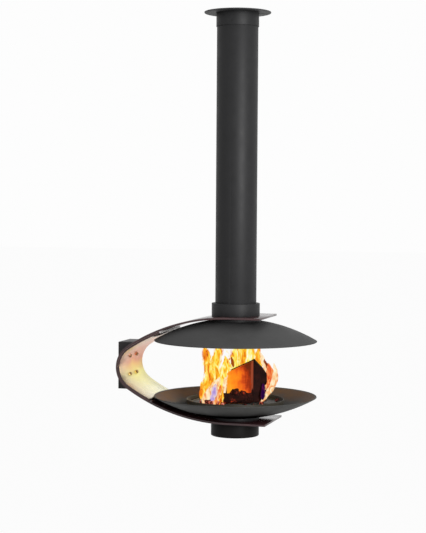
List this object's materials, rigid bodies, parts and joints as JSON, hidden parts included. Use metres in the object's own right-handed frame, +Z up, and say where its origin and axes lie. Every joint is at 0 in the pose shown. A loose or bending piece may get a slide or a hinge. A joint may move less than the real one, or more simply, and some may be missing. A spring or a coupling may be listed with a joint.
{
  "type": "hanging fireplace",
  "caption": "Wall-hung open fireplace: a wide bent steel strap holds a round hood over a round hearth dish, with a straight flue to the ceiling and an ash pot below.",
  "frame": {"origin": "centre of the wall bracket's back face, on the wall", "axes": "+X out of the wall into the room, +Z up, +Y along the wall to complete a right-handed frame"},
  "size_m": [1.225, 1, 2.5838],
  "materials": {
    "black_paint": "matt black heat-proof paint",
    "hood_paint": "dark grey heat-proof paint, satin",
    "strap_steel": "polished plate, mirror-like inside",
    "bracket_paint": "matt black paint",
    "cast_iron": "as cast, sooty",
    "zinc_steel": "dull zinc plate",
    "knob_plastic": "heat-proof black thermoset",
    "charred_wood": "split log, partly charred"
  },
  "bodies": {
    "frame": {"wall_bracket": "bracket_paint", "strap": "strap_steel", "strap_liner": "strap_steel", "liner_washer_upper_near": "zinc_steel", "liner_washer_upper_far": "zinc_steel", "liner_washer_lower_near": "zinc_steel", "liner_washer_lower_far": "zinc_steel", "liner_bolt_upper_near": "zinc_steel", "liner_bolt_upper_far": "zinc_steel", "liner_bolt_lower_near": "zinc_steel", "liner_bolt_lower_far": "zinc_steel", "hood": "hood_paint", "hood_spigot": "black_paint", "flue_pipe": "black_paint", "flue_collar": "black_paint", "upper_sleeve": "black_paint", "ceiling_rosette": "black_paint", "sleeve_screw_1": "zinc_steel", "sleeve_screw_2": "zinc_steel", "sleeve_screw_3": "zinc_steel", "hood_screw_1": "zinc_steel", "hood_screw_2": "zinc_steel", "hood_screw_3": "zinc_steel", "hood_screw_4": "zinc_steel", "damper_bush": "zinc_steel", "hearth_dish": "hood_paint", "ash_chute": "black_paint", "chute_screw_1": "zinc_steel", "chute_screw_2": "zinc_steel", "chute_screw_3": "zinc_steel", "chute_screw_4": "zinc_steel", "pot_ring": "cast_iron", "pot_catch_1": "zinc_steel", "pot_catch_2": "zinc_steel", "pot_catch_3": "zinc_steel"},
    "damper": {"damper_disc": "cast_iron", "damper_spindle": "zinc_steel", "damper_screw_1": "zinc_steel", "damper_screw_2": "zinc_steel", "damper_knob": "knob_plastic"},
    "ash_pot": {"ash_pot": "black_paint"},
    "fire_tray": {"fire_tray": "cast_iron", "tray_foot_1": "cast_iron", "tray_foot_2": "cast_iron", "tray_foot_3": "cast_iron", "tray_foot_4": "cast_iron"},
    "grate": {"grate": "cast_iron", "log_large": "charred_wood", "log_front": "charred_wood", "log_left": "charred_wood"}
  },
  "joints": [
    {"name": "damper_turn", "type": "hinge", "parent": "frame", "child": "damper", "pos_m": [0.725, 0, 0.36075], "axis": [0, 1, 0], "range_deg": [0, 90]},
    {"name": "ash_pot_drop", "type": "slide", "parent": "frame", "child": "ash_pot", "axis": [0, 0, -1], "range_m": [0, 0.12]},
    {"name": "fire_tray_lift", "type": "slide", "parent": "frame", "child": "fire_tray", "axis": [0, 0, 1], "range_m": [0, 0.1]},
    {"name": "grate_lift", "type": "slide", "parent": "fire_tray", "child": "grate", "axis": [0, 0, 1], "range_m": [0, 0.04]}
  ]
}
